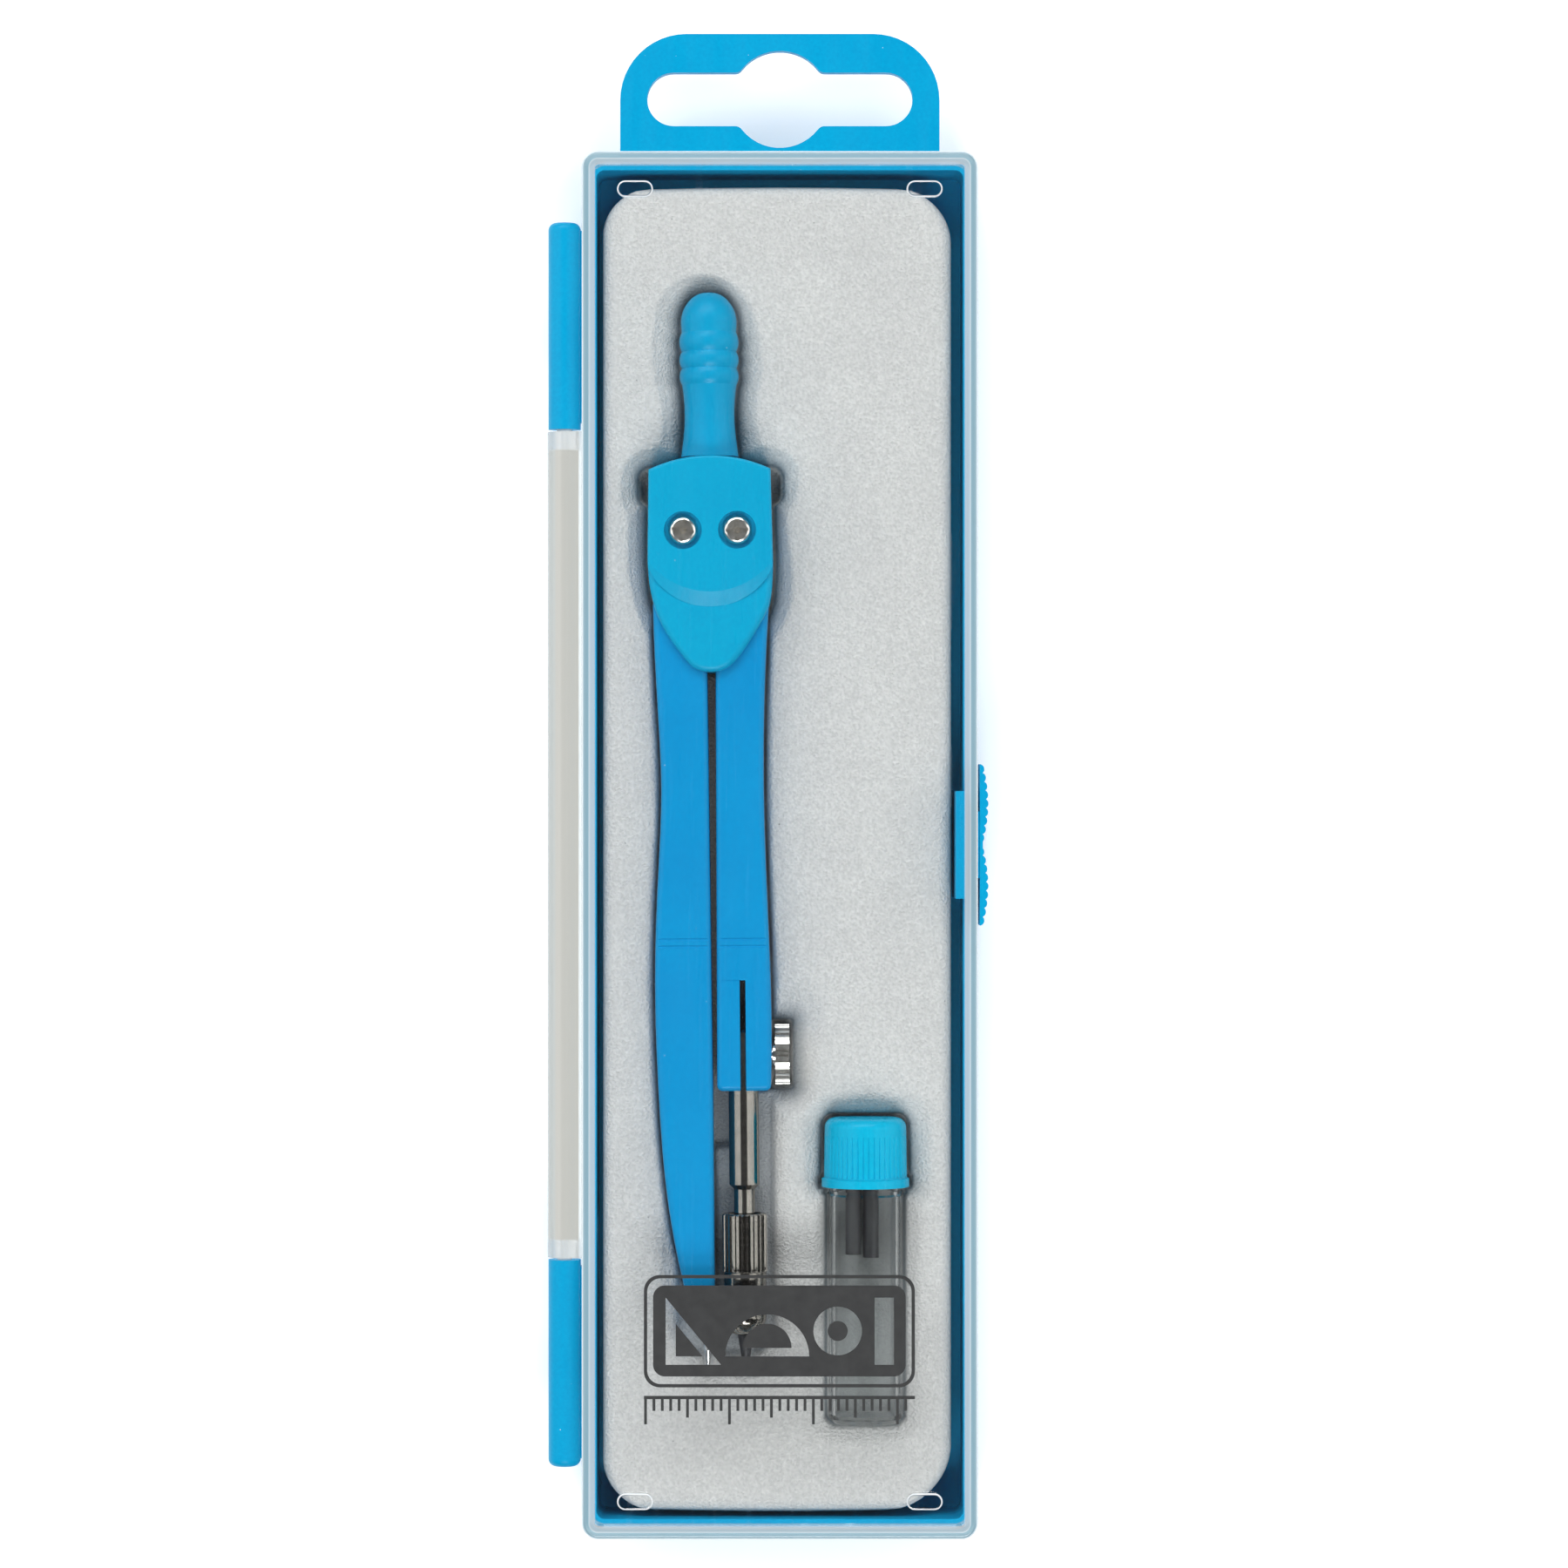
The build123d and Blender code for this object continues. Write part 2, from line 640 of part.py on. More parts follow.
def gear_hub(side, first_tooth, teeth):
    """The hub on one pivot: toothed towards the other leg, round on the outside."""
    facing = 180 if side > 0 else 0
    spread = 360 / gear_teeth * (teeth - 1)
    with Locations((side * pivot, 0)):
        Circle(gear_root)
        with PolarLocations(gear_root, teeth, facing + first_tooth, spread, endpoint=True):
            Polygon(
                (-0.4, -half_tooth * 1.4),
                (0, -half_tooth * 1.4),
                (gear_tip - gear_root, -half_tooth * 0.45),
                (gear_tip - gear_root, half_tooth * 0.45),
                (0, half_tooth * 1.4),
                (-0.4, half_tooth * 1.4),
                align=None,
            )
    with BuildLine() as rim:
        ThreePointArc(
            (side * pivot, hub_radius),
            (side * (pivot + hub_radius), 0),
            (side * pivot, -hub_radius),
        )
        Line((side * pivot, -hub_radius), (side * pivot, hub_radius))
    make_face(rim.edges())


def hub_neck(side):
    """The thin neck that joins the hub to the blade, between the head covers."""
    Polygon(
        (side * (pivot + hub_radius * 0.95), 0),
        (side * 6.9, shank_top - 1),
        (side * leg_gap_top / 2, shank_top - 1),
        (side * leg_gap_top / 2, -4.2),
        (side * pivot, -2.0),
        align=None,
    )


def long_face_edges(leg):
    """Edges round the blade's two broad faces, without the square end inside the head."""
    low = compass_level - leg_depth / 2
    high = compass_level + leg_depth / 2
    rims = leg.edges().filter_by(lambda e: abs(e.center().Z - low) < 0.01)
    rims = rims + leg.edges().filter_by(lambda e: abs(e.center().Z - high) < 0.01)
    return rims.filter_by(lambda e: e.center().Y < compass_y + shank_top - 0.5)


with BuildPart() as needle_leg:
    with BuildSketch(leg_plane_low):
        with BuildLine():
            Spline(
                (-6.95, shank_top),
                (-6.4, -23.0),
                (-6.15, -31.0),
                (-6.65, -42.0),
                (-7.1, -55.0),
                (-6.8, -67.0),
                (-5.95, -79.0),
                (-4.5, -88.0),
                (-2.5, -needle_leg_foot + 0.6),
            )
            ThreePointArc(
                (-2.5, -needle_leg_foot + 0.6),
                (-1.4, -needle_leg_foot),
                (-leg_gap_foot / 2, -needle_leg_foot + 0.9),
            )
            Polyline(
                (-leg_gap_foot / 2, -needle_leg_foot + 0.9),
                (-leg_gap_foot / 2, -leg_foot),
                (-leg_gap_top / 2, -17.3),
                (-leg_gap_top / 2, shank_top),
                (-6.95, shank_top),
            )
        make_face()
    extrude(amount=leg_depth)
    fillet(long_face_edges(needle_leg), leg_edge_round)
    with BuildSketch(compass.offset(-hub_depth / 2)):
        gear_hub(-1, -60, 5)
        hub_neck(-1)
    extrude(amount=hub_depth)
    with BuildSketch(leg_plane_low):
        with Locations((-pivot, 0)):
            Circle(pivot_post_radius + running_clearance)
    extrude(amount=leg_depth, mode=Mode.SUBTRACT)
    # Blind hole for the needle
    needle_plane = Plane(
        origin=compass.from_local_coords(Vector(needle_u, -needle_root + 0.05, 0)),
        x_dir=compass.x_dir,
        z_dir=-compass.y_dir,
    )
    with BuildSketch(needle_plane):
        Circle(needle_radius + 0.01)
    extrude(amount=needle_leg_foot - needle_root + 2, mode=Mode.SUBTRACT)
    # Pair of fine score lines across the front, where a bow clip would sit
    with BuildSketch(compass.offset(leg_depth / 2 - score_depth)):
        with Locations((-4, score_lines[0]), (-4, score_lines[1])):
            Rectangle(8, score_floor)
    extrude(amount=score_depth + 0.02, taper=-score_draft, mode=Mode.SUBTRACT)
needle_leg.part.label = "needle_leg"
export_step(needle_leg.part, "parts/needle_leg.step")

bore_top = sleeve_top - holder_travel - 0.3
with BuildPart() as lead_leg:
    with BuildSketch(leg_plane_low) as lead_leg_outline:
        with BuildLine():
            Spline(
                (6.95, shank_top),
                (6.3, -21.0),
                (6.15, -30.0),
                (6.35, -41.0),
                (6.72, -52.0),
                (6.7, -leg_foot),
            )
            Polyline(
                (6.7, -leg_foot),
                (leg_gap_foot / 2, -leg_foot),
                (leg_gap_top / 2, -17.3),
                (leg_gap_top / 2, shank_top),
                (6.95, shank_top),
            )
        make_face()
        fillet(lead_leg_outline.vertices().group_by(Axis.Y)[0], 0.7)
    extrude(amount=leg_depth)
    fillet(long_face_edges(lead_leg), leg_edge_round - 0.05)
    with BuildSketch(compass.offset(-hub_depth / 2)):
        gear_hub(1, -45, 4)
        hub_neck(1)
    extrude(amount=hub_depth)
    with BuildSketch(leg_plane_low):
        with Locations((pivot, 0)):
            Circle(pivot_post_radius + running_clearance)
    extrude(amount=leg_depth, mode=Mode.SUBTRACT)
    # Clamp: a bore for the holder, split from front to back, and a cross hole for the screw
    holder_mouth = Plane(
        origin=holder_plane.from_local_coords(Vector(0, -leg_foot, 0)),
        x_dir=compass.x_dir,
        z_dir=compass.y_dir,
    )
    with BuildSketch(holder_mouth):
        Circle(sleeve_radius + bore_clearance)
    extrude(amount=leg_foot - bore_top, mode=Mode.SUBTRACT)
    with BuildSketch(leg_plane_low):
        with Locations((holder_u, -(leg_foot + clamp_slot_top) / 2)):
            Rectangle(clamp_slot, leg_foot - clamp_slot_top)
    extrude(amount=leg_depth, mode=Mode.SUBTRACT)
    screw_mouth = Plane(
        origin=clamp_plane.from_local_coords(Vector(0.6, 0, 0)),
        x_dir=compass.y_dir,
        z_dir=compass.x_dir,
    )
    with BuildSketch(screw_mouth):
        Circle(clamp_thread_radius + running_clearance)
    extrude(amount=8, mode=Mode.SUBTRACT)
    with BuildSketch(compass.offset(leg_depth / 2 - score_depth)):
        with Locations((4, score_lines[0]), (4, score_lines[1])):
            Rectangle(8, score_floor)
    extrude(amount=score_depth + 0.02, taper=-score_draft, mode=Mode.SUBTRACT)
    # A faint parting line from the head of the split to the inner edge
    with BuildSketch(compass.offset(leg_depth / 2 - 0.05)):
        with Locations(((holder_u - clamp_slot / 2 + 0.9) / 2, -clamp_slot_top)):
            Rectangle(holder_u - clamp_slot / 2 - 0.9, 0.09)
    extrude(amount=0.2, mode=Mode.SUBTRACT)
lead_leg.part.label = "lead_leg"
export_step(lead_leg.part, "parts/lead_leg.step")


# ---- Needle: a plain pin, pressed in the left leg's foot and ground to a point
with BuildPart() as needle:
    with BuildSketch(compass):
        with BuildLine():
            Polyline(
                (needle_u, -needle_tip),
                (needle_u, -needle_root),
                (needle_u + needle_radius, -needle_root),
                (needle_u + needle_radius, -needle_tip + 3.0),
                (needle_u + 0.03, -needle_tip),
                close=True,
            )
        make_face()
    revolve(axis=Axis(compass.from_local_coords(Vector(needle_u, 0, 0)), compass.y_dir))
needle.part.label = "needle"
export_step(needle.part, "parts/needle.step")


# ---- Clamp screw: a knurled thumb head on a shank that crosses the split bore
with BuildPart() as clamp_screw:
    shank_start = 0.8
    collar_start = 6.95
    head_start = 2 * holder_u + clamp_head_gap
    screw_plane = Plane(clamp_plane.origin, x_dir=compass.y_dir, z_dir=compass.x_dir)
    with BuildSketch(screw_plane.offset(shank_start)):
        Circle(clamp_thread_radius)
    extrude(amount=head_start + 0.5 - shank_start)
    with BuildSketch(screw_plane.offset(collar_start)):
        Circle(clamp_collar_radius)
    extrude(amount=head_start + 0.5 - collar_start)
    with BuildSketch(screw_plane.offset(head_start)):
        Circle(clamp_head_radius)
        with PolarLocations(clamp_head_radius + 0.04, clamp_knurls):
            RegularPolygon(clamp_knurl_depth + 0.04, 4, mode=Mode.SUBTRACT)
    extrude(amount=clamp_head_thickness)
    # Shallow dish in the outer face
    with BuildSketch(screw_plane.offset(head_start + clamp_head_thickness - 0.25)):
        Circle(clamp_head_radius - 1.1)
    extrude(amount=0.3, mode=Mode.SUBTRACT)
clamp_screw.part.label = "clamp_screw"
export_step(clamp_screw.part, "parts/clamp_screw.step")


# ---- Lead holder: a sleeve that slides in the clamp, stepping down to a thin neck
neck_end = nut_top + 2.0
lead_bore = lead_radius + running_clearance
with BuildPart() as lead_holder:
    with BuildSketch(holder_plane):
        with BuildLine():
            Polyline(
                (0, -sleeve_top),
                (sleeve_radius - 0.3, -sleeve_top),
                (sleeve_radius, -sleeve_top - 0.3),
                (sleeve_radius, -sleeve_end),
                (neck_radius, -sleeve_end - neck_chamfer),
                (neck_radius, -neck_end),
                (0, -neck_end),
                close=True,
            )
        make_face()
    revolve(axis=holder_axis)
    with BuildSketch(Plane(
        origin=holder_plane.from_local_coords(Vector(0, -neck_end, 0)),
        x_dir=compass.x_dir,
        z_dir=compass.y_dir,
    )):
        Circle(lead_bore)
    extrude(amount=neck_end - lead_top + lead_stroke + 0.5, mode=Mode.SUBTRACT)
lead_holder.part.label = "lead_holder"
export_step(lead_holder.part, "parts/lead_holder.step")


# ---- Collet: a split jaw on the neck's end, hidden in the nut
collet_top = nut_top + 0.2
collet_nose = nut_end - 1.1
with BuildPart() as collet:
    with BuildSketch(holder_plane):
        with BuildLine():
            Polyline(
                (neck_radius + 0.02, -collet_top),
                (collet_radius, -collet_top),
                (collet_radius, -nut_shoulder + 2.0),
                (lead_bore + 0.1, -collet_nose),
                (lead_bore, -collet_nose),
                (lead_bore, -neck_end - 0.05),
                (neck_radius + 0.02, -neck_end - 0.05),
                close=True,
            )
        make_face()
    revolve(axis=holder_axis)
    with BuildSketch(Plane(
        origin=holder_plane.from_local_coords(Vector(0, -collet_nose, 0)),
        x_dir=compass.x_dir,
        z_dir=compass.y_dir,
    )):
        Rectangle(3 * collet_radius, 0.3)
        Rectangle(0.3, 3 * collet_radius)
    extrude(amount=6.0, mode=Mode.SUBTRACT)
collet.part.label = "collet"
export_step(collet.part, "parts/collet.step")


# ---- Collet nut: knurled above, smooth below, rounded in to the lead
nut_bore = collet_radius + running_clearance
with BuildPart() as collet_nut:
    with BuildSketch(holder_plane):
        with BuildLine():
            Polyline(
                (nut_bore, -nut_top),
                (nut_radius - 0.2, -nut_top),
                (nut_radius, -nut_top - 0.2),
                (nut_radius, -nut_knurl_end),
                (nut_radius - 0.16, -nut_knurl_end - 0.16),
                (nut_radius - 0.16, -nut_shoulder),
            )
            Spline(
                (nut_radius - 0.16, -nut_shoulder),
                (nut_radius - 0.6, -nut_end + 0.75),
                (lead_bore + 0.25, -nut_end),
                tangents=((0, -1), (-1, -0.1)),
            )
            Polyline(
                (lead_bore + 0.25, -nut_end),
                (lead_bore + 0.05, -nut_end),
                (lead_bore + 0.05, -nut_end + 0.55),
                (nut_bore, -nut_shoulder + 1.2),
                (nut_bore, -nut_top),
            )
        make_face()
    revolve(axis=holder_axis)
    nut_mouth = Plane(
        origin=holder_plane.from_local_coords(Vector(0, -nut_knurl_end, 0)),
        x_dir=compass.x_dir,
        z_dir=compass.y_dir,
    )
    with BuildSketch(nut_mouth):
        with PolarLocations(nut_radius + 0.03, nut_knurls):
            RegularPolygon(0.22, 4)
    extrude(amount=nut_knurl_end - nut_top, mode=Mode.SUBTRACT)
collet_nut.part.label = "collet_nut"
export_step(collet_nut.part, "parts/collet_nut.step")


# ---- Lead in the compass
with BuildPart() as compass_lead:
    with BuildSketch(holder_plane):
        with BuildLine():
            Polyline(
                (0, -lead_top),
                (lead_radius, -lead_top),
                (lead_radius, -nut_end + 0.1),
                (lead_tip_radius, -lead_tip),
                (0, -lead_tip),
                close=True,
            )
        make_face()
    revolve(axis=holder_axis)
compass_lead.part.label = "compass_lead"
export_step(compass_lead.part, "parts/compass_lead.step")


# ---- Tube: clear, closed at the foot, with a bead below the cap
with BuildPart() as lead_tube:
    with BuildSketch(tube_plane):
        with BuildLine():
            Polyline(
                (0, tube_foot),
                (tube_radius - 0.6, tube_foot),
                (tube_radius, tube_foot + 0.6),
                (tube_radius, cap_end - 1.1),
                (tube_radius + 0.3, cap_end - 0.8),
                (tube_radius, cap_end - 0.5),
                (tube_radius, tube_mouth),
                (tube_radius - tube_wall, tube_mouth),
                (tube_radius - tube_wall, tube_foot + tube_base),
                (0, tube_foot + tube_base),
                close=True,
            )
        make_face()
    revolve(axis=tube_axis)
lead_tube.part.label = "lead_tube"
export_step(lead_tube.part, "parts/lead_tube.step")


# ---- Cap: pushes over the tube's mouth; fine ribs and a flange at its edge
with BuildPart() as tube_cap:
    cap_bore = tube_radius + cap_clearance
    cap_top_radius = cap_radius - cap_taper
    with BuildSketch(tube_plane):
        with BuildLine():
            Polyline(
                (0, cap_top),
                (0, cap_top - cap_roof),
                (cap_bore, cap_top - cap_roof),
                (cap_bore, cap_end),
                (cap_flange_radius, cap_end),
                (cap_flange_radius, cap_end + cap_flange_height),
                (cap_radius, cap_end + cap_flange_height + 0.15),
                (cap_top_radius, cap_top - cap_top_round),
            )
            RadiusArc(
                (cap_top_radius, cap_top - cap_top_round),
                (cap_top_radius - cap_top_round, cap_top),
                -cap_top_round,
            )
            Line((cap_top_radius - cap_top_round, cap_top), (0, cap_top))
        make_face()
    revolve(axis=tube_axis)
    rib_top = cap_top - cap_rib_start
    rib_foot = Plane(
        origin=(tube_x, cap_end + cap_flange_height + 0.3, tube_level),
        x_dir=(1, 0, 0),
        z_dir=(0, 1, 0),
    )
    with BuildSketch(rib_foot):
        with PolarLocations(cap_radius + 0.1, cap_ribs):
            RegularPolygon(cap_rib_depth + 0.1, 4)
    extrude(amount=rib_top - cap_end - cap_flange_height - 0.3, mode=Mode.SUBTRACT)
tube_cap.part.label = "tube_cap"
export_step(tube_cap.part, "parts/tube_cap.step")


# ---- Spare leads: two sticks lying side by side in the tube
lead_seat = tube_radius - tube_wall - lead_radius - running_clearance
lead_spread = degrees(asin((lead_radius + spare_lead_gap / 2) / lead_seat))
for side, name in ((-1, "spare_lead_left"), (1, "spare_lead_right")):
    bearing = radians(-90 + spare_lead_turn + side * lead_spread)
    lead_head = spare_lead_top - spare_lead_stagger * (side + 1) / 2
    with BuildPart() as spare_lead:
        with BuildSketch(Plane(
            origin=(tube_x, lead_head, tube_level),
            x_dir=(1, 0, 0),
            z_dir=(0, -1, 0),
        )):
            with Locations((lead_seat * cos(bearing), lead_seat * sin(bearing))):
                Circle(lead_radius)
        extrude(amount=spare_lead_length)
    spare_lead.part.label = name
    export_step(spare_lead.part, "parts/" + name + ".step")
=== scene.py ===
from math import cos, radians, sin

import bpy
import numpy as np
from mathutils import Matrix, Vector, noise
from mathutils.bvhtree import BVHTree


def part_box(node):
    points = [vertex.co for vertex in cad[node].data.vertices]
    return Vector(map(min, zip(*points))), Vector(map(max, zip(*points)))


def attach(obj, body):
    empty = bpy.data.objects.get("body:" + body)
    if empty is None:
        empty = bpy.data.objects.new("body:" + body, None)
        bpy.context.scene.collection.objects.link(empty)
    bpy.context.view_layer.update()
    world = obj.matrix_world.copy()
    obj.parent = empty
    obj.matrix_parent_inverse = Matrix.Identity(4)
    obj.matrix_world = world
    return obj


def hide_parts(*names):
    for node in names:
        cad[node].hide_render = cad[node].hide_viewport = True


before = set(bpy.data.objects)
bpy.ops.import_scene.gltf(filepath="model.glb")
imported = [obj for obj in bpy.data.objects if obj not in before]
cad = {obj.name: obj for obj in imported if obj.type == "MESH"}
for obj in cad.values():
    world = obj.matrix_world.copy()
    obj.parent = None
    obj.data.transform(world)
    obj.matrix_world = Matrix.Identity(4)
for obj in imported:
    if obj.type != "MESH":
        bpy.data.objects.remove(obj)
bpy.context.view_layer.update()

MM = 0.001
scene = bpy.context.scene
bpy.ops.object.select_all(action="DESELECT")


# ---- Tray and latch
# Injection-moulded blue polypropylene: one moulding with the hang tab, the hinge knuckles and
# the ribbed latch grip. Its satin skin has a fine spark texture, a little dust and rub marks.
def new_material(name):
    """A material with its shader, and the coordinates of the piece that wears it."""
    material = bpy.data.materials.new(name)
    material.use_nodes = True
    material.node_tree.nodes.clear()
    shader = add_node(material, "BsdfPrincipled")
    add_node(material, "OutputMaterial", Surface=shader.outputs["BSDF"])
    place = add_node(material, "TexCoord").outputs["Object"]
    return material, shader, place


def add_node(material, kind, settings=None, **inputs):
    """A node with its settings and inputs, each a plain value or another node's output."""
    node = material.node_tree.nodes.new("ShaderNode" + kind)
    for key, value in (settings or {}).items():
        setattr(node, key, value)
    for key, value in inputs.items():
        join(material, value, node.inputs[key.replace("_", " ")])
    return node


def join(material, value, socket):
    """Links an output to a socket, or sets the socket to a plain value."""
    if isinstance(value, bpy.types.NodeSocket):
        material.node_tree.links.new(value, socket)
    else:
        socket.default_value = value


def mixed(material, amount, first, second):
    """A colour that goes from the first to the second as amount goes from 0 to 1."""
    mix = add_node(material, "Mix", {"data_type": "RGBA"})
    join(material, amount, mix.inputs[0])
    join(material, first, mix.inputs[6])
    join(material, second, mix.inputs[7])
    return mix.outputs[2]


def grain(material, place, scale, detail=2.0, stretch=(1, 1, 1)):
    """Noise of that many cells to the metre, drawn out along an axis where stretch is small."""
    spread = add_node(material, "Mapping", Vector=place, Scale=stretch).outputs["Vector"]
    noisy = add_node(material, "TexNoise", Vector=spread, Scale=scale, Detail=detail)
    return noisy.outputs["Fac"]


def levels(material, value, low, high, to_low=0.0, to_high=1.0):
    """The value stretched from low..high to to_low..to_high, and held at those ends."""
    inputs = {"From_Min": low, "From_Max": high, "To_Min": to_low, "To_Max": to_high}
    return add_node(material, "MapRange", Value=value, **inputs).outputs["Result"]


def calc(material, operation, first, second=0.0):
    """One step of arithmetic."""
    step = add_node(material, "Math", {"operation": operation})
    join(material, first, step.inputs[0])
    join(material, second, step.inputs[1])
    return step.outputs["Value"]


def bump(material, shader, height, depth, strength):
    """Relief of that depth in metres."""
    relief = add_node(material, "Bump", Height=height, Distance=depth, Strength=strength)
    material.node_tree.links.new(relief.outputs["Normal"], shader.inputs["Normal"])


def specks(material, place, scale, size, share):
    """1 on small round specks of that size, in that share of the cells, and 0 elsewhere."""
    cells = add_node(material, "TexVoronoi", Vector=place, Scale=scale)
    near = levels(material, cells.outputs["Distance"], size, size * 0.6)
    pick = add_node(material, "SeparateColor", Color=cells.outputs["Color"]).outputs["Red"]
    chosen = levels(material, pick, 1 - share, 1 - share + 0.01)
    return calc(material, "MULTIPLY", near, chosen)


SPARK_BLUE = (0.0, 0.12, 0.36, 1)
DUST = (0.75, 0.86, 0.9, 1)
DUST_SHARE = 0.12


def blue_plastic(name, colour, deeper, roughness=0.36):
    """Satin moulded plastic whose colour drifts a little, with fine texture and dust."""
    material, shader, place = new_material(name)
    drift = levels(material, grain(material, place, 90, 3), 0.35, 0.65)
    body = mixed(material, drift, (*colour, 1), (*deeper, 1))
    mottle = levels(material, grain(material, place, 2600, 3), 0.3, 0.7, 0, 0.16)
    body = mixed(material, mottle, body, SPARK_BLUE)
    dusty = specks(material, place, 800, 0.05, DUST_SHARE)
    join(material, mixed(material, dusty, body, DUST), shader.inputs["Base Color"])
    rub = grain(material, place, 700, 4, (1, 0.12, 1))
    rubbed = levels(material, rub, 0.3, 0.7, roughness - 0.06, roughness + 0.08)
    join(material, rubbed, shader.inputs["Roughness"])
    bump(material, shader, grain(material, place, 4200, 2), 0.02 * MM, 0.5)
    shader.inputs["IOR"].default_value = 1.49
    shader.inputs["Specular IOR Level"].default_value = 0.13
    return material


def wear(material, *nodes):
    """Gives CAD nodes one material all over."""
    for name in nodes:
        cad[name].data.materials.clear()
        cad[name].data.materials.append(material)


case_blue = blue_plastic("case_blue_plastic", (0.0, 0.325, 0.575), (0.0, 0.305, 0.555))
wear(case_blue, "case_tray", "latch")


# ---- Lid
# One clear polystyrene moulding with thin upright walls, four stacking lugs and the long
# hollow knuckle. It is polished, with hairline scratches from being handled.
def clear_plastic(name, tint, roughness, scratches):
    """Clear plastic that bends what is seen through it and lets the lamps through."""
    material, shader, place = new_material(name)
    shader.inputs["Base Color"].default_value = (*tint, 1)
    shader.inputs["IOR"].default_value = 1.49
    shader.inputs["Transmission Weight"].default_value = 1.0
    lines = grain(material, place, 900, 5, (1, 0.05, 1))
    hair = levels(material, lines, 0.62, 0.66, roughness, roughness + scratches)
    join(material, hair, shader.inputs["Roughness"])
    bump(material, shader, grain(material, place, 160, 2), 0.03 * MM, 0.35)
    see_through = add_node(material, "BsdfTransparent", Color=(*tint, 1))
    ray = add_node(material, "LightPath").outputs
    lamp = calc(material, "MAXIMUM", ray["Is Shadow Ray"], ray["Is Diffuse Ray"])
    pane = add_node(material, "MixShader", Fac=lamp)
    join(material, shader.outputs["BSDF"], pane.inputs[1])
    join(material, see_through.outputs["BSDF"], pane.inputs[2])
    output = next(n for n in material.node_tree.nodes if n.type == "OUTPUT_MATERIAL")
    join(material, pane.outputs["Shader"], output.inputs["Surface"])
    return material, shader, place


def ramp(material, value, stops):
    """A colour picked from stops of position and colour."""
    node = add_node(material, "ValToRGB", Fac=value)
    marks = node.color_ramp.elements
    while len(marks) < len(stops):
        marks.new(0.5)
    for mark, (position, colour) in zip(marks, stops):
        mark.position = position
        mark.color = colour
    return node.outputs["Color"]


# The walls, their rounded edges and the knuckle carry painted light. The bright bands are
# painted highlights for light that runs along inside the walls and comes out at the edges, and
# the dark blue bands are painted shade of the tray seen through them. The share set below is
# how much of this painted colour takes the place of clear plastic, from the outline inwards.
lid_low, lid_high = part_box("lid")
WALL_CORNER = 2.1 * MM
WALL_BAND = 2.0 * MM
CLEAR_TINT = (0.97, 0.985, 0.99)
lid_clear, lid_shader, place = clear_plastic("lid_clear_plastic", CLEAR_TINT, 0.015, 0.12)
axes = add_node(lid_clear, "SeparateXYZ", Vector=place)
over = []
for axis, half in (("X", lid_high.x), ("Y", lid_high.y)):
    reach = calc(lid_clear, "ABSOLUTE", axes.outputs[axis])
    over.append(calc(lid_clear, "SUBTRACT", reach, half - WALL_CORNER))
inside = calc(lid_clear, "MINIMUM", calc(lid_clear, "MAXIMUM", over[0], over[1]), 0.0)
rounds = [calc(lid_clear, "POWER", calc(lid_clear, "MAXIMUM", o, 0.0), 2.0) for o in over]
outside = calc(lid_clear, "SQRT", calc(lid_clear, "ADD", rounds[0], rounds[1]))
from_edge = calc(lid_clear, "ADD", inside, outside)
inward = levels(lid_clear, from_edge, WALL_CORNER, WALL_CORNER - WALL_BAND)
WALL_PAINTED_LIGHT_SHARE = (
    (0.0, 0.45),
    (0.09, 0.42),
    (0.13, 0.78),
    (0.46, 0.78),
    (0.51, 0.42),
    (0.58, 0.48),
    (0.80, 0.40),
    (0.88, 0.0),
)
WALL_PAINTED_LIGHT = (
    (0.0, (0.75, 0.83, 0.86, 1)),
    (0.13, (0.70, 0.80, 0.84, 1)),
    (0.17, (0.05, 0.20, 0.27, 1)),
    (0.46, (0.05, 0.23, 0.32, 1)),
    (0.52, (0.62, 0.70, 0.74, 1)),
    (0.58, (0.05, 0.16, 0.22, 1)),
    (0.84, (0.03, 0.14, 0.22, 1)),
)
wall_painted_light_share = ramp(lid_clear, inward, [(at, (h, h, h, 1)) for at, h in WALL_PAINTED_LIGHT_SHARE])
wall_painted_light = ramp(lid_clear, inward, WALL_PAINTED_LIGHT)
# The knuckle is hollow, with a bluer wall and solid, clearer ends; its cream colour is painted
# shade, standing for the shadowed floor seen through it
KNUCKLE_EDGE = -24.1 * MM
KNUCKLE_WALL = 1.0 * MM
KNUCKLE_BORE_END = 47.5 * MM
FADE = 0.1 * MM
knuckle = levels(lid_clear, axes.outputs["X"], KNUCKLE_EDGE, KNUCKLE_EDGE - FADE)
wall_inside = lid_low.x + KNUCKLE_WALL
shell = levels(lid_clear, axes.outputs["X"], wall_inside + FADE, wall_inside - FADE)
knuckle_painted_shade = mixed(lid_clear, shell, (0.39, 0.385, 0.35, 1), (0.36, 0.39, 0.38, 1))
along = calc(lid_clear, "ABSOLUTE", axes.outputs["Y"])
solid_end = levels(lid_clear, along, KNUCKLE_BORE_END - FADE, KNUCKLE_BORE_END + FADE)
knuckle_painted_share = levels(lid_clear, solid_end, 0, 1, 0.86, 0.5)
colour = mixed(lid_clear, knuckle, wall_painted_light, knuckle_painted_shade)
painted_light_share = mixed(lid_clear, knuckle, wall_painted_light_share, knuckle_painted_share)
